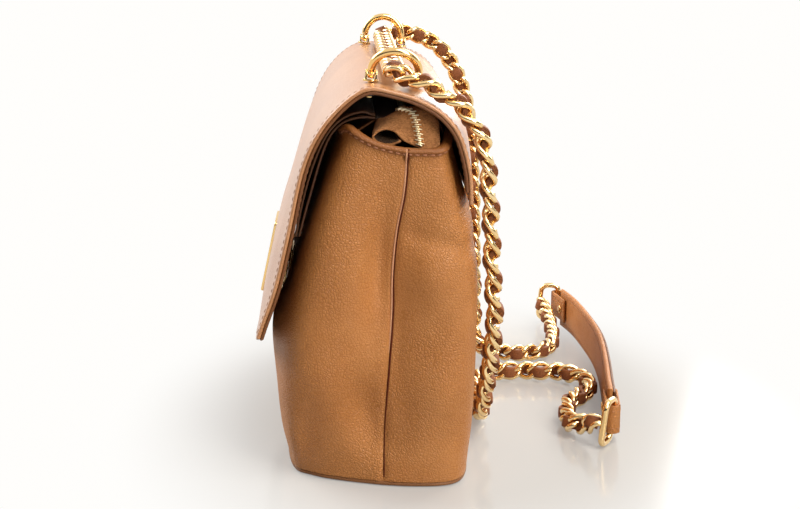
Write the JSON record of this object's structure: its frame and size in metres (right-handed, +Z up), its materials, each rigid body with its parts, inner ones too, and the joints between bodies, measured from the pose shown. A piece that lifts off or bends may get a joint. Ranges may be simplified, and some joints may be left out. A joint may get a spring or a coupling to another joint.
{
  "type": "flap shoulder bag",
  "caption": "Structured shoulder bag with a front flap, press lock, zipped top, two strap arches and a leather-laced chain strap with a shoulder pad.",
  "frame": {"origin": "middle of the underside of the base, on the surface the bag stands on", "axes": "+X along the bag towards the end nearest the camera, +Y towards the back panel and the strap, -Y towards the flap and the lock, +Z up"},
  "size_m": [0.2974, 0.2156, 0.2254],
  "materials": {
    "grained_leather": "pebbled, semi-matt",
    "smooth_leather": "smooth, satin",
    "lining_cloth": "brushed",
    "board": "bonded leather board",
    "gold_metal": "polished gold plating",
    "backing_steel": "plain",
    "laced_chain": "polished links laced with dark brown leather"
  },
  "bodies": {
    "bag": {"front_panel": "grained_leather", "back_panel": "grained_leather", "base_panel": "smooth_leather", "base_board": "board", "lining": "lining_cloth", "end_welts": "grained_leather", "rim_band_front": "grained_leather", "rim_band_back": "grained_leather", "zip_facing_front": "smooth_leather", "zip_facing_back": "smooth_leather", "pocket_front_ply": "smooth_leather", "pocket_back_ply": "smooth_leather", "zip_tape_front": "lining_cloth", "zip_tape_back": "lining_cloth", "zip_teeth": "gold_metal", "zip_tails": "lining_cloth", "flap_top_outer": "grained_leather", "flap_top_lining": "smooth_leather", "arch_seats": "gold_metal", "arch_pins": "gold_metal", "arch_screws": "gold_metal", "arch_backings": "backing_steel", "lock_base_plate": "gold_metal", "lock_front_plate": "gold_metal", "lock_block": "gold_metal", "lock_spacer": "grained_leather", "lock_backing": "backing_steel", "lock_screws": "gold_metal", "chain_near_run": "laced_chain", "chain_top_run": "laced_chain", "chain_far_run": "laced_chain", "strap_ring_near": "gold_metal", "strap_ring_far": "gold_metal", "pad_outer": "grained_leather", "pad_lining": "smooth_leather", "pad_loops": "grained_leather", "pad_rivets": "gold_metal"},
    "flap": {"flap_front_outer": "grained_leather", "flap_front_lining": "smooth_leather", "flap_plate_outer": "gold_metal", "flap_plate_inner": "gold_metal", "lock_stud": "gold_metal", "flap_plate_screws": "gold_metal"},
    "lock_bolt": {"lock_bolt": "gold_metal"},
    "zip_slider": {"zip_slider": "gold_metal"},
    "zip_puller": {"zip_puller": "gold_metal"},
    "arch_near": {"arch_near": "gold_metal"},
    "arch_far": {"arch_far": "gold_metal"}
  },
  "joints": [
    {"name": "flap_hinge", "type": "hinge", "parent": "bag", "child": "flap", "pos_m": [0, -0.03352, 0.18252], "axis": [-1, 0, 0], "range_deg": [0, 150]},
    {"name": "bolt_slide", "type": "slide", "parent": "bag", "child": "lock_bolt", "axis": [0, 0.1558, 0.9878], "range_m": [0, 0.003], "stiffness_N_per_m": 300},
    {"name": "zip_slide", "type": "slide", "parent": "bag", "child": "zip_slider", "axis": [1, 0, 0], "range_m": [0, 0.16]},
    {"name": "puller_hinge", "type": "hinge", "parent": "zip_slider", "child": "zip_puller", "pos_m": [-0.094, 0.01198, 0.192], "axis": [0, -1, 0], "range_deg": [0, 14]},
    {"name": "near_arch_hinge", "type": "hinge", "parent": "bag", "child": "arch_near", "pos_m": [0.106, 0.00634, 0.20884], "axis": [0, 0.9954, -0.0958], "range_deg": [-66, 8]},
    {"name": "far_arch_hinge", "type": "hinge", "parent": "bag", "child": "arch_far", "pos_m": [-0.106, 0.00634, 0.20884], "axis": [0, 0.9954, -0.0958], "range_deg": [-33, 33]}
  ]
}
